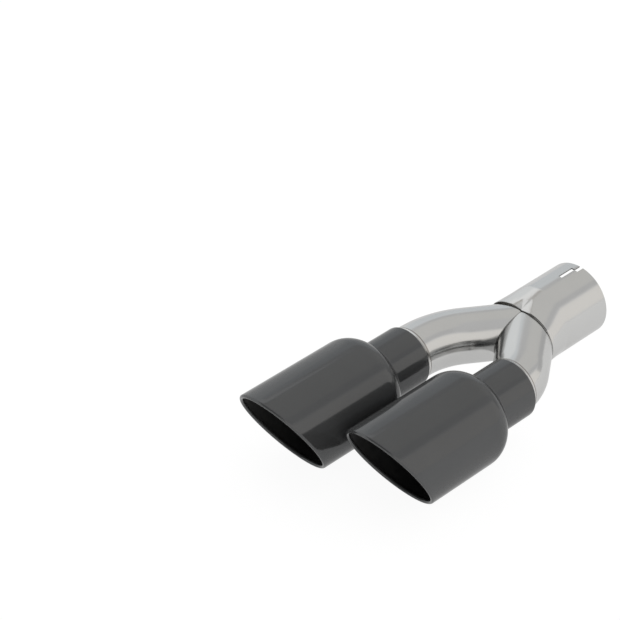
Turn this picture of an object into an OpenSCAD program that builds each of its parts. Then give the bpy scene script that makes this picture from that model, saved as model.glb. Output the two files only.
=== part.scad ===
// Twin-outlet exhaust tip for the right-hand side of a car: a slotted slip-on
// inlet, a formed collector, two bent branch pipes and two round angle-cut tips.
// Millimetres. The origin is the centre of the inlet's open end, +Y points out of
// that end, +X is the side of the shorter branch and +Z is up.

/* [Inlet] */
// Inner diameter of the slip-on inlet
inlet_bore = 76.4; // [70:0.1:84]
// Wall of the inlet and collector
inlet_wall = 1.2; // [1:0.1:2]
// Length of the round part of the inlet
inlet_len = 59; // [50:1:62]
// Length from the open end to the collector's lobed edge
collector_len = 90; // [84:1:110]

/* [Clamp slots] */
// Number of slots round the inlet
slot_count = 2; // [1:1:4]
// Width of a slot
slot_w = 4.2; // [3:0.1:6]
// Length of the strip that opens at the rim
slot_outer_len = 9.3; // [6:0.1:14]
// Length from the rim to the blind end
slot_len = 29; // [20:0.5:36]
// Width that the two strips share where they meet
slot_share = 0.2; // [0.2:0.1:1.5]
// Length over which the two strips overlap
slot_lap = 0.8; // [0.6:0.1:2]
// Sideways place of the rim strip's middle
slot_shift = 2.8; // [0:0.1:4]

/* [Branch pipes] */
// Outer diameter of the branch pipes
pipe_od = 57.15; // [52:0.05:58]
// Wall of the branch pipes
pipe_wall = 1.5; // [1:0.1:2]
// Angle at which the branches spread from the inlet's axis
splay = 35; // [30:0.5:38]
// Half the distance between the branch axes at the collector's edge
branch_half = 7.2; // [3:0.1:12]
// Bend radius of the long branch
bend_r_left = 96; // [80:1:110]
// Bend radius of the short branch
bend_r_right = 61; // [50:1:66]
// Length of branch pipe inside the collector, from its edge
collector_grip = 12; // [6:1:20]
// Length of branch pipe inside a tip's neck
neck_grip = 26; // [22:1:36]
// Straight pipe between the long branch's bend and its tip's neck
straight_left = 11.25; // [2:0.25:30]
// Length of the short branch's bend that its tip's neck covers
bend_cover_right = 11.4; // [0:0.1:12]
// Clearance between the pipes and the collector at its creases and sides
crease_gap = 0.3; // [0.2:0.1:0.8]
// Clearance between them at roof and floor, beside the creases
roof_gap = 1.1; // [0.8:0.1:1.6]
// Widest clearance between them, on the slants of the lobes
lobe_gap = 1.7; // [1:0.1:2.5]

/* [Crimp] */
// Length of the folds that bring the collector down to the pipes at its creases
notch_len = 12; // [8:1:16]
// Half the width of the folds at the collector's edge
notch_half = 14; // [8:0.5:16]
// Their width at the far end, as a share of that at the edge
notch_taper = 0.55; // [0.3:0.05:1]

/* [Tips] */
// Distance between the two tips' axes
tip_spacing = 109.6; // [106:0.2:130]
// Outer diameter of a tip's body
tip_od = 101.6; // [98:0.2:105]
// Wall of a tip's body
tip_wall = 1.5; // [1.2:0.1:2.5]
// Outer diameter of a tip's neck
neck_od = 63.5; // [62:0.1:66]
// Wall of the neck, thicker where the tube is drawn in
neck_wall = 2.2; // [1.6:0.1:2.2]
// Straight length of the neck
neck_len = 42.5; // [36:0.5:50]
// Radius of the shoulder
shoulder_r = 28.8; // [22:0.2:34]
// Radius of the hollow where the shoulder meets the neck
neck_fillet_r = 6; // [3:0.5:10]
// Length of a tip on its axis
tip_len = 173; // [150:1:200]
// Angle of the mouth's cut
mouth_angle = 30; // [15:1:35]
// Radius of the rolled lip
lip_r = 2; // [1.6:0.1:3]

/* [Welds] */
// Leg of the weld between a neck and its pipe
weld_leg = 2.8; // [2:0.1:2.8]

/* [Hidden] */
$fn = 96;
inlet_r = inlet_bore / 2;
inlet_out_r = inlet_r + inlet_wall;
pipe_r = pipe_od / 2;
pipe_in_r = pipe_r - pipe_wall;
tip_r = tip_od / 2;
neck_r = neck_od / 2;
tip_x = tip_spacing / 2;

// Steel in the shade of the part: bright tube, dark coated tips
steel = "#c4c2bf";
coating = "#4d4d4f";

// Hair by which a joined shape is let into the wall of the one it meets
seat = 0.03;

// Round bar along +Y from y = from to y = to
module bar(from, to, r)
    translate([0, from, 0]) rotate([-90, 0, 0]) cylinder(h = to - from, r = r);

// A branch seen on the right-hand side: its bend starts where the bend and the
// slanted run together reach the collector's edge at branch_half
function run_len(radius) =
    (tip_x - branch_half - radius * (1 - cos(splay))) / sin(splay);
function bend_start(radius) =
    -collector_len - radius * sin(splay) - run_len(radius) * cos(splay);

// Distance from the inlet's open end to each tip's neck end
neck_y_left = straight_left - bend_start(bend_r_left);
neck_y_right = -bend_cover_right - bend_start(bend_r_right);
long = collector_len + neck_y_left + tip_len;

// Solid route of a branch with radius r: straight run, bend, slanted run. The
// bend differs in radius by step, laps both runs, and both ends can go on by over.
module branch_route(neck_y, radius, r, step, over = 0) {
    bend_y = bend_start(radius);
    lap = 0.5;
    turn = atan(lap / radius);
    translate([tip_x, bend_y, 0]) {
        bar(-neck_y - neck_grip - over - bend_y, 0, r);
        translate([-radius, 0, 0]) {
            rotate([0, 0, -turn]) rotate_extrude(angle = splay + 2 * turn)
                translate([radius, 0]) circle(r + step);
            rotate([0, 0, splay]) translate([radius, 0, 0])
                bar(0, run_len(radius) + 2 * collector_grip + over, r);
        }
    }
}

// The two branches are mitred against each other on the plane x = 0 and cut
// square inside the collector
module branch_pipe(neck_y, radius)
    intersection() {
        difference() {
            branch_route(neck_y, radius, pipe_r, -seat);
            branch_route(neck_y, radius, pipe_in_r, seat, 1);
        }
        translate([0, -long, -pipe_od])
            cube([long, long - collector_len + collector_grip, 2 * pipe_od]);
    }

module branch_pipe_right()
    color(steel) branch_pipe(neck_y_right, bend_r_right);

module branch_pipe_left()
    color(steel) mirror([1, 0, 0]) branch_pipe(neck_y_left, bend_r_left);

// Section of the two mitred pipes at the collector's edge, as a polar radius:
// each pipe is cut at the splay angle, so it shows as an ellipse
function pipes_polar(angle) =
    let (a = pipe_r / cos(splay), b = pipe_r, c = abs(cos(angle)), s = sin(angle),
         q = c * c / (a * a) + s * s / (b * b),
         p = branch_half * c / (a * a))
    (p + sqrt(p * p - q * (branch_half * branch_half / (a * a) - 1))) / q;
// The same section with its two creases bridged flat
function bridged_polar(angle) =
    let (c = abs(cos(angle)), s = abs(sin(angle)))
    pipe_r * c < branch_half * s ? pipe_r / s : pipes_polar(angle);
// Inside of the collector's edge before it is crimped: the clearance grows from the
// sides, is widest on the slants of the lobes and a little less on roof and floor
function edge_polar(angle) =
    bridged_polar(angle) + crease_gap
    + max((lobe_gap - crease_gap) * pow(sin(2 * angle), 2),
          (roof_gap - crease_gap) * abs(sin(angle)));
// Share of the lobed shape at s from the round end (0) to the edge (1): a short
// curve, then a straight run
form_ease = 0.15;
function lobe_share(s) =
    (s < form_ease ? s * s / (2 * form_ease) : s - form_ease / 2) / (1 - form_ease / 2);
// How far the crimp presses the wall in: a notch with a sloping end and two flanks
crimp_depth = edge_polar(90) - pipes_polar(90) - crease_gap;
function crimp(angle, y) =
    let (back = (y + collector_len) / notch_len,
         out = abs(cos(angle)) * pipe_r / notch_half)
    crimp_depth * max(0, 1 - max(back, out + (1 - notch_taper) * back));

form_lap = 0.6;
form_sides = 96;
form_steps = 8;
crimp_steps = 8;
form_y = concat(
    [for (i = [0 : form_steps - 1])
        form_lap - inlet_len - (collector_len - inlet_len + form_lap - notch_len) * i / form_steps],
    [for (i = [0 : crimp_steps]) notch_len * (1 - i / crimp_steps) - collector_len]);

// One side of the formed wall: rings of points from the round tube to the lobes
function form_rings(round_r, extra) = [
    for (y = form_y)
        let (w = lobe_share((form_lap - inlet_len - y) / (collector_len - inlet_len + form_lap)))
        for (j = [0 : form_sides - 1])
            let (angle = 360 * j / form_sides,
                 r = (1 - w) * round_r + w * (edge_polar(angle) + extra) - crimp(angle, y))
            [r * cos(angle), y, r * sin(angle)]
];

// Formed part of the collector, from round to two lobes, crimped at both creases.
// Its round end is let into the wall of the tube by a hair on both sides. Each cell
// is split along the crimp's folds, mirror-fashion from quarter to quarter.
module formed_wall() {
    last = form_steps + crimp_steps;
    count = (last + 1) * form_sides;
    points = concat(form_rings(inlet_out_r - seat, inlet_wall),
                    form_rings((inlet_r + seat) / cos(180 / form_sides), 0));
    function at(i, j) = i * form_sides + j % form_sides;
    outside = [for (i = [0 : last - 1], j = [0 : form_sides - 1])
        let (a = at(i + 1, j), b = at(i + 1, j + 1), c = at(i, j + 1), d = at(i, j))
        each floor(4 * j / form_sides) % 2 == 0 ? [[a, b, d], [b, c, d]] : [[a, b, c], [a, c, d]]];
    inside = [for (f = outside) [for (k = [2 : -1 : 0]) f[k] + count]];
    round_end = [for (j = [0 : form_sides - 1])
        [at(0, j), at(0, j + 1), at(0, j + 1) + count, at(0, j) + count]];
    edge = [for (j = [0 : form_sides - 1])
        [at(last, j + 1), at(last, j), at(last, j) + count, at(last, j + 1) + count]];
    polyhedron(points, concat(outside, inside, round_end, edge), convexity = 6);
}

// Stepped slot at the top of the inlet: a strip from the rim, then a second one
// beside it that runs on to the blind end
module clamp_slot() {
    inner_len = slot_len - slot_outer_len + slot_lap;
    step = slot_w - slot_share;
    translate([slot_shift - slot_w / 2, -slot_outer_len, 0])
        cube([slot_w, slot_outer_len + 1, inlet_out_r + 1]);
    translate([slot_shift - step - slot_w / 2, -slot_len, 0])
        cube([slot_w, inner_len, inlet_out_r + 1]);
}

module inlet_collector()
    color(steel) {
        difference() {
            bar(-inlet_len, 0, inlet_out_r);
            bar(-inlet_len - 1, 1, inlet_r);
            for (i = [0 : slot_count - 1])
                rotate([0, 360 * i / slot_count, 0]) clamp_slot();
        }
        formed_wall();
    }

// Outline of a tip without its cut, x being the radius and y the distance from
// the neck's end. The shoulder arc and the hollow arc touch on the line between
// their centres, at the angle meet from the radius.
arc_steps = 10;
function meet_angle(body, shoulder, hollow, neck) =
    acos((neck + hollow - body + shoulder) / (shoulder + hollow));
body_start = neck_len
    + (shoulder_r + neck_fillet_r) * sin(meet_angle(tip_r, shoulder_r, neck_fillet_r, neck_r));

function tip_outline(body, shoulder, hollow, neck, from, to) =
    let (meet = meet_angle(body, shoulder, hollow, neck),
         hollow_y = body_start - (shoulder + hollow) * sin(meet))
    concat(
        [[0, from], [neck, from]],
        [for (i = [0 : arc_steps]) let (a = 180 - meet * i / arc_steps)
            [neck + hollow + hollow * cos(a), hollow_y + hollow * sin(a)]],
        [for (i = [1 : arc_steps]) let (a = meet * (i / arc_steps - 1))
            [body - shoulder + shoulder * cos(a), body_start + shoulder * sin(a)]],
        [[body, to], [0, to]]);

// Rolled lip: a bead whose middle line is the ellipse that the cut plane makes,
// so that the bead stays level with the outside of the body
lip_sides = 12;
lip_steps = 72;
lip_mid_r = tip_r - seat - lip_r;
module rolled_lip() {
    slope = tan(mouth_angle);
    points = [
        for (i = [0 : lip_steps - 1])
            let (a = 360 * i / lip_steps,
                 along = [-sin(a), cos(a), slope * cos(a)],
                 out = [cos(a), sin(a), 0],
                 side = cross(along, out) / norm(along),
                 mid = [lip_mid_r * cos(a), lip_mid_r * sin(a),
                        tip_len + slope * lip_mid_r * sin(a)])
            for (j = [0 : lip_sides - 1])
                let (b = 360 * (j + 0.5) / lip_sides)
                mid + lip_r * (cos(b) * out + sin(b) * side)
    ];
    function at(i, j) = (i % lip_steps) * lip_sides + j % lip_sides;
    polyhedron(points, [for (i = [0 : lip_steps - 1], j = [0 : lip_sides - 1])
        [at(i + 1, j), at(i + 1, j + 1), at(i, j + 1), at(i, j)]], convexity = 6);
}

// Tip about +Z: neck end at z = 0, mouth at z = tip_len, the upper side at +Y
module tip() {
    reach = tip_len + tip_r;
    difference() {
        rotate_extrude()
            polygon(tip_outline(tip_r, shoulder_r, neck_fillet_r, neck_r, 0, reach));
        rotate_extrude()
            polygon(tip_outline(tip_r - tip_wall, shoulder_r - tip_wall,
                                neck_fillet_r + tip_wall, neck_r - neck_wall,
                                -1, reach + 1));
        translate([0, 0, tip_len - lip_r / 5]) rotate([mouth_angle, 0, 0])
            translate([-tip_od, -tip_od, 0]) cube([2 * tip_od, 2 * tip_od, reach]);
    }
    rolled_lip();
}

module tip_at(side, neck_y)
    color(coating) translate([side * tip_x, -neck_y, 0]) rotate([90, 0, 0]) tip();

module tip_left() tip_at(-1, neck_y_left);

module tip_right() tip_at(1, neck_y_right);

// Fillet weld on the pipe against the neck's end face, fitted to the bend
module neck_weld(neck_y, radius)
    color(steel) difference() {
        translate([tip_x, -neck_y, 0]) rotate([-90, 0, 0]) rotate_extrude()
            intersection() {
                translate([pipe_r, 0]) circle(weld_leg);
                translate([pipe_in_r, 0]) square(2 * weld_leg);
            }
        branch_route(neck_y, radius, pipe_r, -seat);
    }

module neck_weld_right() neck_weld(neck_y_right, bend_r_right);

module neck_weld_left() mirror([1, 0, 0]) neck_weld(neck_y_left, bend_r_left);

inlet_collector();
branch_pipe_left();
branch_pipe_right();
tip_left();
tip_right();
neck_weld_left();
neck_weld_right();
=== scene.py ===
"""Twin-outlet exhaust tip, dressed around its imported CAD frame.

Row frame: metres, origin at the centre of the inlet's open end, +Y out of that
end, +X the side of the short branch, +Z up. Surfaces are made as whole arrays of
points in millimetres.
"""
import math
from types import SimpleNamespace

import bpy
import numpy as np
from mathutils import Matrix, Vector


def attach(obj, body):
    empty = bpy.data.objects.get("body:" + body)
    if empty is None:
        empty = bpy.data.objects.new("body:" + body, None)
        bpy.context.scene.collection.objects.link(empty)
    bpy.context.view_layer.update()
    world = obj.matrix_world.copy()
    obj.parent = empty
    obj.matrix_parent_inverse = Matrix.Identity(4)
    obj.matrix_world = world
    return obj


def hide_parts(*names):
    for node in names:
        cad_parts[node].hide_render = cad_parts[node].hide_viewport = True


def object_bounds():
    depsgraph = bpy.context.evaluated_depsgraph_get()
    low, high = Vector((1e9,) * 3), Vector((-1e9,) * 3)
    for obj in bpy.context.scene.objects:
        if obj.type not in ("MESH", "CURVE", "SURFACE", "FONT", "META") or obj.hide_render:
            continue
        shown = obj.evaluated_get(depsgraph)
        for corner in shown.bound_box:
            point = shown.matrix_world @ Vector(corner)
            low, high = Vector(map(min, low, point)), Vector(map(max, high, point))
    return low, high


bl_info = {
    "name": "Twin Exhaust Tip",
    "version": (1, 1, 0),
    "blender": (4, 5, 0),
    "location": "3D View > Sidebar > Exhaust Tip",
    "description": "Collector, branch pipes, dark chrome tips and studio for a twin exhaust tip",
    "category": "Object",
}

MM = 0.001
FRAME_SIDE = 620        # side of the photo's frame, in pixels
FOCAL = 2453.3          # focal length solved from the photo, in pixels

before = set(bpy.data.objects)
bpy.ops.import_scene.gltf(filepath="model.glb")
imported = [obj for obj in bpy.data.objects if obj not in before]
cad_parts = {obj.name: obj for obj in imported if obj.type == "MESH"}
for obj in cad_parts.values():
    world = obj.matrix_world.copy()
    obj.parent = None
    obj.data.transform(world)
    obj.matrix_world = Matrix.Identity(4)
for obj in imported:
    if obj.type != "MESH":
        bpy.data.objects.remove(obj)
CAD_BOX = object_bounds()


def rgb(code):
    """Linear colour with alpha 1 from a hex sRGB code."""
    values = [int(code[i:i + 2], 16) / 255 for i in (1, 3, 5)]
    return tuple(v / 12.92 if v <= 0.04045 else ((v + 0.055) / 1.055) ** 2.4
                 for v in values) + (1.0,)


# Properties that the panel shows

def length(name, description, value):
    """Length property whose default is given in millimetres."""
    return bpy.props.FloatProperty(name=name, description=description, default=value * MM,
                                   min=0.0, soft_max=1.0, precision=4, subtype="DISTANCE",
                                   unit="LENGTH")


def angle(name, description, value):
    """Angle property whose default is given in degrees."""
    return bpy.props.FloatProperty(name=name, description=description,
                                   default=math.radians(value), min=0.0,
                                   max=math.radians(80), subtype="ANGLE", unit="ROTATION")


def colour(name, description, code):
    """Colour property whose default is a hex sRGB code."""
    return bpy.props.FloatVectorProperty(name=name, description=description, default=rgb(code),
                                         size=4, min=0.0, max=1.0, subtype="COLOR")


def factor(name, description, value):
    """Plain number from 0 to 1."""
    return bpy.props.FloatProperty(name=name, description=description, default=value,
                                   min=0.0, max=1.0, subtype="FACTOR")


class ExhaustSizes(bpy.types.PropertyGroup):
    """Sizes of the part, as in its source, but for the crimp's run, half-width and
    blend, the crease gap, the short branch's place and covered bend, and the welds,
    which follow the photo more closely here."""

    inlet_bore: length("Inlet bore", "Inner diameter of the slip-on inlet", 76.4)
    inlet_wall: length("Inlet wall", "Wall of the inlet and collector", 1.2)
    inlet_len: length("Inlet length", "Length of the round part of the inlet", 59)
    collector_len: length("Collector length", "From the open end to the lobed edge", 90)
    slot_w: length("Slot width", "Width of each strip of the clamp slots", 4.2)
    slot_rim: length("Slot rim strip", "Length of the strip that opens at the rim", 9.3)
    slot_len: length("Slot length", "From the rim to the slot's blind end", 29)
    slot_share: length("Slot share", "Width that the two strips share", 0.2)
    slot_lap: length("Slot lap", "Length over which the two strips overlap", 0.8)
    slot_shift: length("Slot shift", "Sideways place of the rim strip's middle", 2.8)
    notch_len: length("Crimp length", "Length of the folds at the collector's creases", 12)
    notch_run: length("Crimp run", "Length of the fold on the short branch's side", 18)
    notch_half: length("Crimp half-width", "Half the width of those folds at the edge", 11.5)
    notch_blend: length("Crimp blend", "Width over which the left fold runs into the right", 4)
    notch_taper: factor("Crimp taper", "Their width at the far end, as a share", 0.55)
    crease_gap: length("Crease gap", "Clearance to the pipes at creases and sides", 0.1)
    roof_gap: length("Roof gap", "Clearance to the pipes beside the creases", 1.1)
    lobe_gap: length("Lobe gap", "Clearance to the pipes on the slants of the lobes", 1.7)
    pipe_od: length("Pipe diameter", "Outer diameter of the branch pipes", 57.15)
    pipe_wall: length("Pipe wall", "Wall of the branch pipes", 1.5)
    splay: angle("Splay", "Angle at which the branches leave the inlet's axis", 35)
    branch_half: length("Branch half-distance", "Middle to a branch's axis at the edge", 7.2)
    half_more: length("Right half-distance, more", "Added on the short branch's side", 1.8)
    bend_left: length("Left bend", "Bend radius of the long branch", 96)
    bend_right: length("Right bend", "Bend radius of the short branch", 61)
    straight_left: length("Left straight", "Straight pipe between left bend and neck", 11.25)
    bend_cover: length("Covered bend", "Length of the right bend that its neck covers", 8.8)
    collector_grip: length("Collector grip", "Pipe inside the collector", 12)
    neck_grip: length("Neck grip", "Pipe inside a tip's neck", 26)
    tip_spacing: length("Tip spacing", "Distance between the tips' axes", 109.6)
    tip_od: length("Tip diameter", "Outer diameter of a tip's body", 101.6)
    tip_wall: length("Tip wall", "Wall of a tip's body", 1.5)
    tip_len: length("Tip length", "Length of a tip on its axis", 173)
    mouth_angle: angle("Mouth angle", "Angle of the slanted mouth", 30)
    lip_r: length("Lip radius", "Radius of the rolled lip", 2)
    neck_od: length("Neck diameter", "Outer diameter of a tip's neck", 63.5)
    neck_wall: length("Neck wall", "Wall of the neck", 2.2)
    neck_len: length("Neck length", "Straight length of the neck", 42.5)
    shoulder_r: length("Shoulder radius", "Radius of the shoulder", 28.8)
    hollow_r: length("Hollow radius", "Radius of the hollow between shoulder and neck", 6)
    weld_leg: length("Weld leg", "Leg of the fillet weld at a neck, along the pipe", 4.8)
    weld_toe: length("Weld toe", "Height of the weld's step down to the pipe", 0.3)
    # painted shade: the darker line beyond each weld stands in for the shade of the weld's toe
    shade_line: length("Painted shade line", "Width of the darker line beyond a weld", 1.8)


class ExhaustFinish(bpy.types.PropertyGroup):
    """Colours and polish of the finishes."""

    steel: colour("Steel", "Polished stainless tube", "#cccccb")
    steel_dull: colour("Steel, dull", "Stainless where the polish is duller", "#c6c6c5")
    steel_rough: factor("Steel roughness", "How far the tube's reflections are spread", 0.16)
    inside: colour("Tube inside", "Unpolished inside of the tubes", "#b0aeab")
    # painted shade: the cut edges are darkened to stand in for the shadow of the collector's
    # edge on the pipes
    cut: colour("Cut edge", "Bare cut edges of the collector's sheet", "#7c7a78")
    # painted highlight: the bead is lighter than the tube steel so that its ring reads bright
    bead: colour("Weld bead", "Bright weld metal", "#dcdad7")
    # painted shade: colour of the darker line beyond each weld, standing in for the toe's shade
    toe_shade: colour("Painted shade line", "Steel darkened by the weld's heat", "#9d9a97")
    coating: colour("Coating", "Dark chrome of the tips", "#5e5f60")
    coating_dull: colour("Coating, dull", "Dark chrome where it is duller", "#5a5b5c")
    coating_rough: factor("Coating roughness", "How far the tips' reflections are spread", 0.12)
    # painted shade: the tips' inside is made near black to stand in for the shade deep in their
    # mouths
    lining: colour("Lining", "Sooty inside of the tips", "#363636")


def read_sizes():
    """Panel's sizes in millimetres and radians, with the radii and places that follow
    from them. A branch holds its side, its neck end's distance, its bend's radius and
    its bend's start; its axis passes branch_half at the collector's edge, and half_more
    beyond it on the short branch's side."""
    panel = bpy.context.scene.exhaust_sizes
    z = SimpleNamespace()
    for key in ExhaustSizes.__annotations__:
        value = getattr(panel, key)
        plain = key in ("splay", "mouth_angle", "notch_taper")
        setattr(z, key, value if plain else value / MM)
    z.inlet_r, z.pipe_r, z.tip_r, z.neck_r = (
        v / 2 for v in (z.inlet_bore, z.pipe_od, z.tip_od, z.neck_od))
    z.tip_x = z.tip_spacing / 2
    z.slope = math.tan(z.mouth_angle)
    z.branch = {}
    for name, side, radius in (("left", -1, z.bend_left), ("right", 1, z.bend_right)):
        half = z.branch_half + (z.half_more if side > 0 else 0)
        run = (z.tip_x - half - radius * (1 - math.cos(z.splay))) / math.sin(z.splay)
        if run <= 0:
            raise ValueError(f"The {name} tip is too near the middle for its bend radius")
        start = -z.collector_len - radius * math.sin(z.splay) - run * math.cos(z.splay)
        neck_y = (z.straight_left if side < 0 else -z.bend_cover) - start
        z.branch[name] = SimpleNamespace(side=side, neck_y=neck_y, radius=radius,
                                         start=start)
    return z


# Mesh helpers

def add_piece(name, pts, faces, node, mats, mat_ids=None, sharp=30.0):
    """Turns points in millimetres and four-sided faces into a smooth-shaded object that
    rides on the part and takes the place of its CAD node."""
    verts = (np.asarray(pts).reshape(-1, 3) * MM).astype(np.float32)
    if not np.isfinite(verts).all():
        raise ValueError(f"{name} has points that aren't numbers")
    used, order = np.unique(faces, return_inverse=True)
    verts, faces = verts[used], order.reshape(-1, 4).astype(np.int32)
    mesh = bpy.data.meshes.new(name)
    mesh.vertices.add(len(verts))
    mesh.vertices.foreach_set("co", verts.ravel())
    mesh.loops.add(faces.size)
    mesh.loops.foreach_set("vertex_index", faces.ravel())
    mesh.polygons.add(len(faces))
    mesh.polygons.foreach_set("loop_start", np.arange(0, faces.size, 4, dtype=np.int32))
    mesh.polygons.foreach_set("use_smooth", np.ones(len(faces), bool))
    for mat in mats:
        mesh.materials.append(mat)
    if mat_ids is not None:
        mesh.polygons.foreach_set("material_index", np.asarray(mat_ids, np.int32))
    mesh.update(calc_edges=True)
    if mesh.validate():
        raise ValueError(f"{name} has faces that don't fit together")
    mesh.set_sharp_from_angle(angle=math.radians(sharp))
    piece = bpy.data.objects.new(name, mesh)
    bpy.context.scene.collection.objects.link(piece)
    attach(piece, "root")
    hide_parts(node)
    return piece


def wrap_faces(rows, cols, flip=False):
    """Faces of a grid of rows x cols points whose rows and columns both close on
    themselves, so that the surface is a closed tube bent into a ring."""
    i, j = np.meshgrid(np.arange(rows), np.arange(cols), indexing="ij")
    i2, j2 = (i + 1) % rows, (j + 1) % cols
    faces = np.stack([i * cols + j, i * cols + j2, i2 * cols + j2, i2 * cols + j], -1)
    faces = faces.reshape(-1, 4)
    return faces[:, ::-1] if flip else faces


def span(a, b, n, last=False):
    """n even steps from a to b, and b itself too if last is set."""
    return np.linspace(a, b, n + (1 if last else 0), endpoint=last)


# Collector

def pipes_polar(z, turn):
    """Polar radius of the two mitred pipes at the collector's edge: ellipses of
    half-width r / cos(splay) and half-height r, branch_half either side of the middle,
    and half_more further out on the short branch's side."""
    a, b = z.pipe_r / math.cos(z.splay), z.pipe_r
    h = z.branch_half + np.where(np.cos(turn) > 1e-6, z.half_more, 0)
    c, s = np.abs(np.cos(turn)), np.abs(np.sin(turn))
    q = (c / a) ** 2 + (s / b) ** 2
    p = h * c / a**2
    return (p + np.sqrt(p * p - q * ((h / a) ** 2 - 1))) / q


def edge_polar(z, turn):
    """Inside of the collector's edge before it is crimped: the pipes' section with its
    creases bridged flat, and a clearance that grows from the sides, is widest on the
    slants of the lobes and a little less on roof and floor."""
    c, s = np.abs(np.cos(turn)), np.abs(np.sin(turn))
    more = np.where(np.cos(turn) > 1e-6, z.half_more, 0)
    given_up = 0.75  # share of half_more that the slant's clearance loses there
    bridged = np.where(z.pipe_r * c < (z.branch_half + more) * s,
                       z.pipe_r / np.maximum(s, 1e-6), pipes_polar(z, turn))
    return bridged + z.crease_gap + np.maximum(
        (z.lobe_gap - z.crease_gap - given_up * more) * (2 * s * c) ** 2,
        (z.roof_gap - z.crease_gap) * s**3)


def collector_radius(z, turn, y, extra):
    """Polar radius of the collector: (1 - w) * round + w * lobed, where w rises by a
    short curve and a straight run, less a crimp. Its depth falls by |x| / notch_half
    plus the distance from the edge / notch_run on the short branch's side, and on the
    other side by the larger of a sloping end's fall and a tapering flank's. The two
    run smoothly into each other over notch_blend."""
    ease, lap = 0.15, 0.6
    start = lap - z.inlet_len
    s = np.clip((start - y) / (start + z.collector_len), 0, 1)
    w = np.where(s < ease, s * s / (2 * ease), s - ease / 2) / (1 - ease / 2)
    depth = edge_polar(z, math.pi / 2) - pipes_polar(z, math.pi / 2) - z.crease_gap
    back = (y + z.collector_len) / z.notch_len
    out = z.pipe_r * np.abs(np.cos(turn)) / z.notch_half
    right = out + back * z.notch_len / z.notch_run
    left = np.maximum(back, out + (1 - z.notch_taper) * back)
    share = np.clip(0.5 + z.pipe_r * np.cos(turn) / z.notch_blend, 0, 1)
    fold = 1 - left - (right - left) * share * share * (3 - 2 * share)
    return ((1 - w) * (z.inlet_r + extra) + w * (edge_polar(z, turn) + extra)
            - depth * np.maximum(fold, 0))


def build_collector(mats):
    """Grid of angle x length, outside from rim to edge and inside back again; the
    cells of the two stepped slots are left out and their sides closed."""
    z = read_sizes()
    tops = (0.5 * math.pi, 1.5 * math.pi)
    thin, press_run, press_from, press_blend = 0.2, 3, 0.86, 0.1
    bevel_size, bevel_reach, bevel_loss = 0.3, 0.2, 0.9
    mid_r = z.inlet_r + z.inlet_wall / 2
    step = z.slot_w - z.slot_share
    sides = np.array([z.slot_shift - z.slot_w / 2, z.slot_shift + z.slot_w / 2,
                      z.slot_shift - step - z.slot_w / 2, z.slot_shift - step + z.slot_w / 2])
    cuts = np.concatenate([top - sides / mid_r for top in tops])
    base = span(0, 2 * math.pi, 288)
    near = np.min(np.abs(base[:, None] - cuts), 1) > math.radians(0.5)
    crease = np.min(np.abs(base[:, None] - np.array(tops)), 1) < 1e-6
    turn = np.unique(np.round(np.concatenate([base[near | crease], cuts]), 9))
    lap_y = z.slot_rim - z.slot_lap
    y = -np.unique(np.concatenate([
        [0, 0.35, 2, 5, lap_y, z.slot_rim, 14, 19, 24, z.slot_len, 34, 40, z.inlet_len - 2],
        span(z.inlet_len - 1, z.collector_len - 0.35, 60, True), [z.collector_len]]))
    n, m = len(y), len(turn)
    yy, tt = np.meshgrid(y, turn, indexing="ij")
    # the edge is pressed down onto the pipes at the sides, where it would stand proud
    side = np.clip((np.abs(np.cos(tt)) - press_from) / press_blend, 0, 1)
    near_edge = np.clip(1 - (yy + z.collector_len) / press_run, 0, 1)
    press = (z.inlet_wall - thin) * side * near_edge ** 2
    # both cut edges are bevelled, far less where the edge is pressed down
    at_edge = (yy > -bevel_reach) | (yy < bevel_reach - z.collector_len)
    bevel = np.where(at_edge, bevel_size, 0.0)
    bevel = np.where(yy < -1, bevel * (1 - bevel_loss * side), bevel)
    rr = np.stack([collector_radius(z, tt, yy, z.inlet_wall) - bevel - press,
                   collector_radius(z, tt, yy, 0) + bevel])
    pts = np.stack([rr * np.cos(tt), np.broadcast_to(yy, rr.shape), rr * np.sin(tt)], -1)
    mid_t = turn + 0.5 * np.diff(np.append(turn, turn[0] + 2 * math.pi))
    mid_y = -0.5 * (y[:-1] + y[1:])[:, None]
    gone = np.zeros((n - 1, m), bool)
    for top in tops:
        x = ((top - mid_t) * mid_r)[None]
        gone |= (mid_y < z.slot_rim) & (np.abs(x - z.slot_shift) < z.slot_w / 2)
        gone |= ((mid_y > lap_y) & (mid_y < z.slot_len)
                 & (np.abs(x - z.slot_shift + step) < z.slot_w / 2))
    here = ~gone
    idx = np.arange(2 * n * m).reshape(2, n, m)
    nxt = np.roll(idx, -1, axis=2)
    left = here & np.roll(gone, 1, axis=1)
    right = here & np.roll(gone, -1, axis=1)
    after = here[1:] & gone[:-1]
    before = here[:-1] & gone[1:]
    quads = [
        (idx[0, :-1], nxt[0, :-1], nxt[0, 1:], idx[0, 1:], here),
        (idx[1, 1:], nxt[1, 1:], nxt[1, :-1], idx[1, :-1], here),
        (idx[1, 0], nxt[1, 0], nxt[0, 0], idx[0, 0], here[0]),
        (idx[0, -1], nxt[0, -1], nxt[1, -1], idx[1, -1], here[-1]),
        (idx[0, :-1], idx[0, 1:], idx[1, 1:], idx[1, :-1], left),
        (nxt[0, 1:], nxt[0, :-1], nxt[1, :-1], nxt[1, 1:], right),
        (idx[1, 1:-1], nxt[1, 1:-1], nxt[0, 1:-1], idx[0, 1:-1], after),
        (idx[0, 1:-1], nxt[0, 1:-1], nxt[1, 1:-1], idx[1, 1:-1], before),
    ]
    faces = np.concatenate([np.stack(q[:4], -1)[q[4]].reshape(-1, 4) for q in quads])
    # finishes: polished outside, unpolished inside, and the cut edge between them painted dark
    # as shade
    within = (faces >= n * m).sum(1)
    finish = np.select([within == 4, within > 0], [1, 2], 0)
    return add_piece("inlet_collector_shell", pts, faces, "inlet_collector",
                     mats, finish, sharp=20)


# Branch pipes and welds

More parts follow.
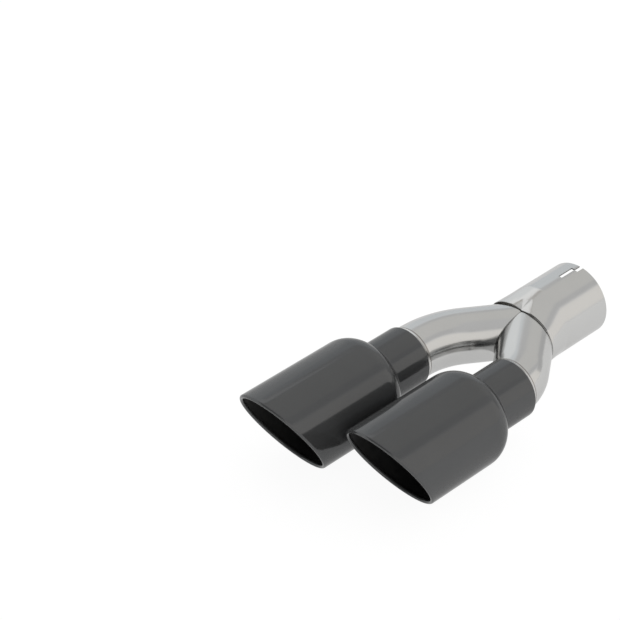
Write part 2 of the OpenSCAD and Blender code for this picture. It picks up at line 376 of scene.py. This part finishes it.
def pipe_rows(z, branch, r, phi):
    """Rings of radius r carried along straight run, bend and slanted run. Each line
    of the slanted run ends where it meets the plane x = 0 or the square cut."""
    cx = z.tip_x - branch.radius
    ring = branch.radius + r * np.cos(phi)
    up = r * np.sin(phi)
    y = span(-branch.neck_y - z.neck_grip, branch.start, 6)[:, None] + 0 * phi
    straight = np.stack([cx + ring + 0 * y, y, up + 0 * y], -1)
    turn = span(0, z.splay, 40)[:, None]
    bend = np.stack([cx + ring * np.cos(turn), branch.start + ring * np.sin(turn),
                     up + 0 * turn], -1)
    x1 = cx + ring * math.cos(z.splay)
    y1 = branch.start + ring * math.sin(z.splay)
    end = np.minimum(x1 / math.sin(z.splay),
                     (z.collector_grip - z.collector_len - y1) / math.cos(z.splay))
    s = span(0, 1, 24, True)[:, None] * end
    slant = np.stack([x1 - s * math.sin(z.splay), y1 + s * math.cos(z.splay), up + 0 * s], -1)
    return np.concatenate([straight, bend, slant])


def build_pipe(name, mats):
    """Outside rings from neck to collector and inside rings back, closed both ways."""
    z = read_sizes()
    branch = z.branch[name]
    phi = span(0, 2 * math.pi, 144)
    outer = pipe_rows(z, branch, z.pipe_r, phi)
    inner = pipe_rows(z, branch, z.pipe_r - z.pipe_wall, phi)[::-1]
    pts = np.concatenate([outer, inner])
    pts[..., 0] *= branch.side
    faces = wrap_faces(*pts.shape[:2], flip=branch.side > 0)
    inside = (faces // len(phi) >= len(outer)).all(1)
    return add_piece(f"branch_pipe_{name}_shell", pts, faces, f"branch_pipe_{name}",
                     mats, inside)


def pipe_section(z, branch, y, phi, r):
    """Points where the plane at y cuts a pipe of radius r: a circle on the straight
    run, and x = centre + sqrt((R + r cos)^2 - dy^2) on the bend."""
    dy = np.maximum(y - branch.start, 0)
    x = z.tip_x - branch.radius + np.sqrt((branch.radius + r * np.cos(phi)) ** 2 - dy**2)
    return np.stack([x, y + 0 * phi, r * np.sin(phi)], -1)


def build_weld(name, mats):
    """Fillet weld round the pipe at the neck's end, faintly hollow and rippled, with a
    small step down to a painted shade line on the pipe; closed inside the pipe's wall."""
    z = read_sizes()
    branch = z.branch[name]
    phi = span(0, 2 * math.pi, 288)
    ripples, ripple, hollow = 90, 0.03, 0.35
    lap, sink, steps = 0.15, 0.8, 10
    y = -branch.neck_y
    leg = z.weld_leg * (1 - ripple + ripple * np.cos(ripples * phi))
    edge = z.neck_r - 0.4
    skin = z.pipe_r + 0.05
    face = np.stack([z.tip_x + edge * np.cos(phi), y - lap + 0 * phi, edge * np.sin(phi)], -1)
    toe = pipe_section(z, branch, y + leg, phi, skin + z.weld_toe)
    t = span(0, 1, steps, True)[:, None, None]
    sag = hollow * (face - pipe_section(z, branch, y, phi, skin))
    pts = np.concatenate([face + (toe - face) * t - (1 - t) * t * sag,
                          [pipe_section(z, branch, y + leg, phi, skin),
                           pipe_section(z, branch, y + leg + z.shade_line, phi, skin),
                           pipe_section(z, branch, y - lap, phi, z.pipe_r - sink)]])
    pts[..., 0] *= branch.side
    faces = wrap_faces(*pts.shape[:2], flip=branch.side > 0)
    # the faces just beyond the weld's toe take the painted shade colour
    row = faces // len(phi)
    toe_shaded = (row.min(1) == steps + 1) & (row.max(1) == steps + 2)
    return add_piece(f"neck_weld_{name}_bead", pts, faces, f"neck_weld_{name}",
                     mats, toe_shaded, sharp=50)


# Tips

def tip_profile(z, inset, neck_inset, steps):
    """Radius and distance from the neck's end along the hollow arc and the shoulder arc,
    which touch on the line between their centres; inset moves the body's wall in."""
    hollow, shoulder = z.hollow_r + inset, z.shoulder_r - inset
    body, neck = z.tip_r - inset, z.neck_r - neck_inset

    def meet(body, shoulder, hollow, neck):
        return math.acos((neck + hollow - body + shoulder) / (shoulder + hollow))

    both = z.shoulder_r + z.hollow_r
    start = z.neck_len + both * math.sin(meet(z.tip_r, z.shoulder_r, z.hollow_r, z.neck_r))
    m = meet(body, shoulder, hollow, neck)
    low = start - (shoulder + hollow) * math.sin(m)
    a = math.pi - span(0, m, steps)
    valley = np.stack([neck + hollow + hollow * np.cos(a), low + hollow * np.sin(a)], 1)
    a = span(-m, 0, 2 * steps, True)
    dome = np.stack([body - shoulder + shoulder * np.cos(a), start + shoulder * np.sin(a)], 1)
    return np.concatenate([valley, dome])


def build_tip(name, mats):
    """A turned profile whose top row rises with the slanted mouth, joined to a round
    lip carried along the mouth's ellipse and back down inside."""
    z = read_sizes()
    branch = z.branch[name]
    a = span(0, 2 * math.pi, 216)
    out = np.stack([np.cos(a), np.sin(a), 0 * a], -1)
    along = np.stack([-np.sin(a), np.cos(a), z.slope * np.cos(a)], -1)
    front = -np.cross(along, out) / np.linalg.norm(along, axis=1)[:, None]
    mid_r = z.tip_r - z.lip_r
    mid = np.stack([mid_r * np.cos(a), mid_r * np.sin(a),
                    z.tip_len + z.slope * mid_r * np.sin(a)], -1)
    roll = 2 * math.pi - math.acos((z.lip_r - z.tip_wall) / z.lip_r)
    b = span(0, roll, 30, True)[:, None, None]
    lip = mid + z.lip_r * (np.cos(b) * out + np.sin(b) * front)

    def rows(profile, unit):
        return np.stack([profile[:, :1] * unit[:, 0], profile[:, :1] * unit[:, 1],
                         profile[:, 1:] + 0 * unit[:, 0]], -1)

    def rise(low, high, n):
        t = span(0, 1, n + 1)[1:, None, None]
        return low + (high - low) * t

    edge, coated = 0.4, 24
    neck_rows, body_rows, bore_rows = 6, 20, 12
    q = span(0, math.pi / 2, 6, True)
    rounding = np.stack([z.neck_r - edge + edge * np.sin(q), edge - edge * np.cos(q)], 1)
    neck = np.stack([np.full(neck_rows, z.neck_r), span(4, z.neck_len - 6, neck_rows)], 1)
    outside = rows(np.concatenate([rounding, neck, tip_profile(z, 0, 0, 14)]), out)
    body = rise(outside[-1], lip[0], body_rows)
    unit = lip[-1, :, :2] / np.linalg.norm(lip[-1, :, :2], axis=1)[:, None]
    bore = z.neck_r - z.neck_wall
    profile = np.concatenate([tip_profile(z, z.tip_wall, z.neck_wall, 8)[::-1],
                              [[bore, 20.0], [bore, 0.0]]])
    inside = rows(profile, unit)
    pts = np.concatenate([outside, body, lip, rise(lip[-1], inside[0], bore_rows), inside])
    x, y, up = np.moveaxis(pts, -1, 0)
    pts = np.stack([branch.side * z.tip_x + x, -branch.neck_y - up, y], -1)
    faces = wrap_faces(*pts.shape[:2])
    # the coating ends on the lip's inner side, after so many of its rows; the rows beyond take
    # the lining painted near black as shade
    lined = (faces // len(a)).min(1) >= len(outside) + len(body) + coated
    return add_piece(f"tip_{name}_shell", pts, faces, f"tip_{name}", mats,
                     lined, sharp=40)


# Materials

class Nodes:
    """Lays out a material's nodes: a value that is a socket is linked, any other is set."""

    def __init__(self, name):
        self.mat = bpy.data.materials.new(name)
        self.mat.use_nodes = True
        self.tree = self.mat.node_tree
        self.tree.nodes.clear()

    def add(self, kind, inputs=(), **settings):
        """Adds a node, applies its settings and sets or links its inputs."""
        node = self.tree.nodes.new(kind)
        for key, value in settings.items():
            setattr(node, key, value)
        for key, value in dict(inputs).items():
            if isinstance(value, bpy.types.NodeSocket):
                self.tree.links.new(value, node.inputs[key])
            else:
                node.inputs[key].default_value = value
        return node

    def noise(self, scale, detail, place):
        """Noise whose scale counts waves per millimetre."""
        return self.add("ShaderNodeTexNoise", {"Vector": place, "Scale": scale,
                                               "Detail": detail}).outputs["Fac"]

    def place(self):
        """Object coordinates in millimetres."""
        coords = self.add("ShaderNodeTexCoord").outputs["Object"]
        mapping = self.add("ShaderNodeMapping", {"Vector": coords, "Scale": (1 / MM,) * 3})
        return mapping.outputs["Vector"]

    def finish(self, surface):
        """Links the surface to the output and hands the material out."""
        self.add("ShaderNodeOutputMaterial", {"Surface": surface})
        return self.mat


def metal(name, bright, dull, rough, grain, bump, metallic=1.0, edge=1.0):
    """Metal with a soft drift of colour and roughness and a fine grain in its surface."""
    n = Nodes(name)
    place = n.place()
    # a cloud some 30 mm wide shifts tone and polish, so that long reflections waver
    cloud = n.noise(0.03, 3.0, place)
    tone = n.add("ShaderNodeMix", {"Factor": cloud, "A": dull, "B": bright}, data_type="RGBA")
    polish = n.add("ShaderNodeMapRange", {"Value": cloud, "From Min": 0.3, "From Max": 0.7,
                                          "To Min": rough * 0.9, "To Max": rough * 1.15})
    # polishing grain under a millimetre wide breaks up the edges of reflections
    fine = n.noise(grain, 2.0, place)
    bumps = n.add("ShaderNodeBump", {"Height": fine, "Strength": bump, "Distance": 0.02 * MM})
    shader = n.add("ShaderNodeBsdfPrincipled", {
        "Base Color": tone.outputs["Result"], "Metallic": metallic,
        "Specular Tint": (edge, edge, edge, 1), "Roughness": polish.outputs["Result"],
        "Normal": bumps.outputs["Normal"]})
    return n.finish(shader.outputs["BSDF"])


def shade_lining(name, tone):
    """Lining of a mouth painted near black as shade, matt."""
    n = Nodes(name)
    place = n.place()
    # patches some 8 mm wide, so that the black isn't flat
    mottle = n.noise(0.12, 4.0, place)
    mix = n.add("ShaderNodeMix", {"Factor": mottle, "A": rgb("#1a1a1a"), "B": tone},
                data_type="RGBA")
    bumps = n.add("ShaderNodeBump", {"Height": mottle, "Strength": 0.1, "Distance": 0.1 * MM})
    # rougher where the mottle is higher
    mottled_roughness = n.add("ShaderNodeMapRange", {"Value": mottle, "To Min": 0.42, "To Max": 0.6})
    shader = n.add("ShaderNodeBsdfPrincipled", {
        "Base Color": mix.outputs["Result"], "Metallic": 0.0,
        "Roughness": mottled_roughness.outputs["Result"], "Normal": bumps.outputs["Normal"]})
    return n.finish(shader.outputs["BSDF"])


def finish_of(key):
    """Makes each finish once and hands it out again."""
    s = bpy.context.scene.exhaust_finish
    made = bpy.data.materials.get(key)
    if made:
        return made
    # drawn tube, belt-polished: long, slightly soft reflections of the studio
    if key == "polished stainless tube":
        return metal(key, s.steel, s.steel_dull, s.steel_rough, 3.0, 0.05, edge=0.85)
    # mill finish left inside the tubes: a grey sheen without clear reflections
    if key == "dull stainless inside":
        return metal(key, s.inside, s.inside, 0.35, 1.2, 0.1)
    # bare cut edge of the sheet, painted dark as shade: a thin dark line round every cut edge,
    # standing in for the shadow the collector's edge casts on the pipes
    if key == "cut edge, painted shade":
        return metal(key, s.cut, s.cut, 0.5, 2.5, 0.2)
    # weld metal, its colour lightened above the tube's as a painted highlight: the bright ring
    # at a neck's end
    if key == "weld bead, painted highlight":
        return metal(key, s.bead, s.steel_dull, 0.2, 1.5, 0.08)
    # painted shade: a faint darker line beside the bright ring, standing in for the shade of the
    # weld's toe on the pipe
    if key == "painted toe shade":
        return metal(key, s.toe_shade, s.toe_shade, 0.25, 2.0, 0.1)
    # thin dark chrome over polished steel: charcoal with clear, dim reflections
    if key == "dark chrome coating":
        return metal(key, s.coating, s.coating_dull, s.coating_rough, 2.0, 0.05,
                     metallic=0.48, edge=0.5)
    # bare inside painted near black as shade, so that the mouths read as deep
    if key == "tip lining, painted shade":
        return shade_lining(key, s.lining)
    raise KeyError(f"No finish is called {key}")


def finishes(*keys):
    """Finishes of one piece, in the order of its faces' numbers."""
    return [finish_of(key) for key in keys]


# Stage

def flat(name, corners, surface_mat):
    """Flat stage piece from four corners in metres."""
    mesh = bpy.data.meshes.new(name)
    mesh.from_pydata(corners, [], [(0, 1, 2, 3)])
    mesh.materials.append(surface_mat)
    obj = bpy.data.objects.new(name, mesh)
    bpy.context.scene.collection.objects.link(obj)
    return obj


def card(name, corners, strength, tint):
    """Card of even light that only the part sees."""
    n = Nodes(name)
    light = n.add("ShaderNodeEmission", {"Color": rgb(tint), "Strength": strength})
    flat(name, corners, n.finish(light.outputs["Emission"])).visible_camera = False


def build_floor():
    """White floor under the part that keeps its shadow; it glows for the camera and for
    rays mirrored or let through by the part, so that the ground stays white."""
    n = Nodes("pale studio floor")
    path = n.add("ShaderNodeLightPath").outputs
    seen = n.add("ShaderNodeMath", {0: path["Is Camera Ray"], 1: path["Is Glossy Ray"]},
                 operation="MAXIMUM")
    seen = n.add("ShaderNodeMath", {0: seen.outputs[0], 1: path["Is Transmission Ray"]},
                 operation="MAXIMUM")
    # the camera sees a little more of the glow than the part mirrors
    share = n.add("ShaderNodeMapRange", {"Value": path["Is Camera Ray"], "To Min": 0.62,
                                         "To Max": 0.85})
    share = n.add("ShaderNodeMath", {0: seen.outputs[0], 1: share.outputs[0]},
                  operation="MULTIPLY")
    plain = n.add("ShaderNodeBsdfDiffuse", {"Color": rgb("#f3f3f3")})
    glow = n.add("ShaderNodeEmission", {"Color": rgb("#ffffff"), "Strength": 1.1})
    mix = n.add("ShaderNodeMixShader", {0: share.outputs[0], 1: plain.outputs[0],
                                        2: glow.outputs[0]})
    reach, low = 30.0, CAD_BOX[0].z - 0.1 * MM
    flat("studio_floor", [(-reach, -reach, low), (reach, -reach, low), (reach, reach, low),
                          (-reach, reach, low)],
         n.finish(mix.outputs[0]))


def build_lights():
    """Soft studio round the part, in metres: grey ceiling, warm wall right, cool walls
    left, greyer far wall, dim open side where the camera stands."""
    scene = bpy.context.scene
    scene.view_settings.view_transform = "Standard"
    scene.world = bpy.data.worlds.new("studio")
    scene.world.use_nodes = True
    back = scene.world.node_tree.nodes["Background"]
    back.inputs["Color"].default_value = rgb("#eaeaea")
    back.inputs["Strength"].default_value = 1.0
    # name, x from and to, y from and to, height, strength, tint
    lids = (
        ("ceiling_frame", -2.6, 2.05, 0.35, 9, 2.5, 0.66, "#ffffff"),
        ("ceiling_panel", -1.5, 1.0, 0.35, 9, 2.4, 0.75, "#fffefb"),
        ("ceiling_strip", -2.6, 2.05, -0.9, 0.35, 2.5, 0.7, "#ffffff"),
        ("ceiling_left", -3.0, -1.66, 0.0, 1.75, 2.38, 1.12, "#ffffff"),
        ("ceiling_edge", -1.66, -1.25, 0.3, 1.2, 2.38, 0.55, "#fffaf4"),
        ("ceiling_near", -1.66, -1.1, -0.4, 0.3, 2.38, 1.12, "#ffffff"),
        ("open_side_top", -2.6, 2.05, -6, -0.9, 2.5, 0.15, "#ffffff"),
    )
    for name, x0, x1, y0, y1, z, strength, tint in lids:
        card(name, [(x0, y0, z), (x1, y0, z), (x1, y1, z), (x0, y1, z)], strength, tint)
    # name, x from and to, y from and to, z from and to, strength, tint
    walls = (
        ("right_wall", 3, 3, -6, 9, 0.2, 3.2, 1.0, "#fffcf8"),
        ("left_wall_near", -3, -3, -6, 2, 0.05, 2.8, 1.02, "#fcfeff"),
        ("left_wall_far", -3, -3, 2, 9, 0.05, 2.8, 0.88, "#f8fcff"),
        ("far_wall", -3, 3, 9, 9, 0.05, 2.5, 0.6, "#ffffff"),
        ("open_side", -3, 3, -5, -5, 0.05, 2.5, 0.25, "#ffffff"),
    )
    for name, x0, x1, y0, y1, z0, z1, strength, tint in walls:
        card(name, [(x0, y0, z0), (x1, y1, z0), (x1, y1, z1), (x0, y0, z1)], strength, tint)


def build_camera():
    """Camera of the photo, 45 degrees round and 35.26 up, solved from its edges."""
    data = bpy.data.cameras.new("photo_camera")
    cam = bpy.data.objects.new("photo_camera", data)
    scene = bpy.context.scene
    scene.collection.objects.link(cam)
    data.sensor_width = 36.0
    data.lens = data.sensor_width * FOCAL / FRAME_SIDE
    data.clip_start, data.clip_end = 0.05, 100.0
    turn, lift = math.radians(45), math.atan(math.sqrt(0.5))
    back = Vector((math.sin(turn) * math.cos(lift), -math.cos(turn) * math.cos(lift),
                   math.sin(lift)))
    aim, distance = Vector((-190.8, -200.0, -11.3)), 2540.4
    cam.location = (aim + back * distance) * MM
    cam.rotation_mode = "QUATERNION"
    cam.rotation_quaternion = (-back).to_track_quat("-Z", "Y")
    scene.camera = cam


# Add-on

class EXHAUST_OT_collector(bpy.types.Operator):
    """Builds the slotted inlet and its formed collector"""

    bl_idname = "exhaust.collector"
    bl_label = "Inlet and Collector"

    def execute(self, context):
        build_collector(finishes("polished stainless tube", "dull stainless inside",
                                 "cut edge, painted shade"))
        return {"FINISHED"}


class EXHAUST_OT_pipes(bpy.types.Operator):
    """Builds the two bent branch pipes"""

    bl_idname = "exhaust.pipes"
    bl_label = "Branch Pipes"

    def execute(self, context):
        for name in ("left", "right"):
            build_pipe(name, finishes("polished stainless tube", "dull stainless inside"))
        return {"FINISHED"}


class EXHAUST_OT_welds(bpy.types.Operator):
    """Builds the weld beads between the pipes and the tips' necks"""

    bl_idname = "exhaust.welds"
    bl_label = "Neck Welds"

    def execute(self, context):
        for name in ("left", "right"):
            build_weld(name, finishes("weld bead, painted highlight", "painted toe shade"))
        return {"FINISHED"}


class EXHAUST_OT_tips(bpy.types.Operator):
    """Builds the two angle-cut tips with their rolled lips"""

    bl_idname = "exhaust.tips"
    bl_label = "Tips"

    def execute(self, context):
        for name in ("left", "right"):
            build_tip(name, finishes("dark chrome coating", "tip lining, painted shade"))
        return {"FINISHED"}


class EXHAUST_OT_stage(bpy.types.Operator):
    """Builds the floor, the studio cards and the camera"""

    bl_idname = "exhaust.stage"
    bl_label = "Stage"

    def execute(self, context):
        build_floor()
        build_lights()
        build_camera()
        return {"FINISHED"}


class EXHAUST_PT_panel(bpy.types.Panel):
    """Shows the sizes, the finishes and the steps in the sidebar"""

    bl_label = "Exhaust Tip"
    bl_idname = "EXHAUST_PT_panel"
    bl_space_type = "VIEW_3D"
    bl_region_type = "UI"
    bl_category = "Exhaust Tip"

    def draw(self, context):
        for group in (context.scene.exhaust_sizes, context.scene.exhaust_finish):
            column = self.layout.column()
            for key in type(group).__annotations__:
                column.prop(group, key)
        for step in STEPS:
            self.layout.operator(f"exhaust.{step}")


STEPS = ("collector", "pipes", "welds", "tips", "stage")
CLASSES = (ExhaustSizes, ExhaustFinish, EXHAUST_OT_collector, EXHAUST_OT_pipes,
           EXHAUST_OT_welds, EXHAUST_OT_tips, EXHAUST_OT_stage, EXHAUST_PT_panel)


def register():
    """Registers the classes and hangs the sizes and finishes on the scene."""
    for c in CLASSES:
        bpy.utils.register_class(c)
    bpy.types.Scene.exhaust_sizes = bpy.props.PointerProperty(type=ExhaustSizes)
    bpy.types.Scene.exhaust_finish = bpy.props.PointerProperty(type=ExhaustFinish)


def unregister():
    """Takes away what register added."""
    del bpy.types.Scene.exhaust_finish
    del bpy.types.Scene.exhaust_sizes
    for c in reversed(CLASSES):
        bpy.utils.unregister_class(c)


def main():
    register()
    bpy.ops.exhaust.collector()
    bpy.ops.exhaust.pipes()
    bpy.ops.exhaust.welds()
    bpy.ops.exhaust.tips()
    bpy.ops.exhaust.stage()
    bpy.context.view_layer.update()


if __name__ == "__main__":
    main()
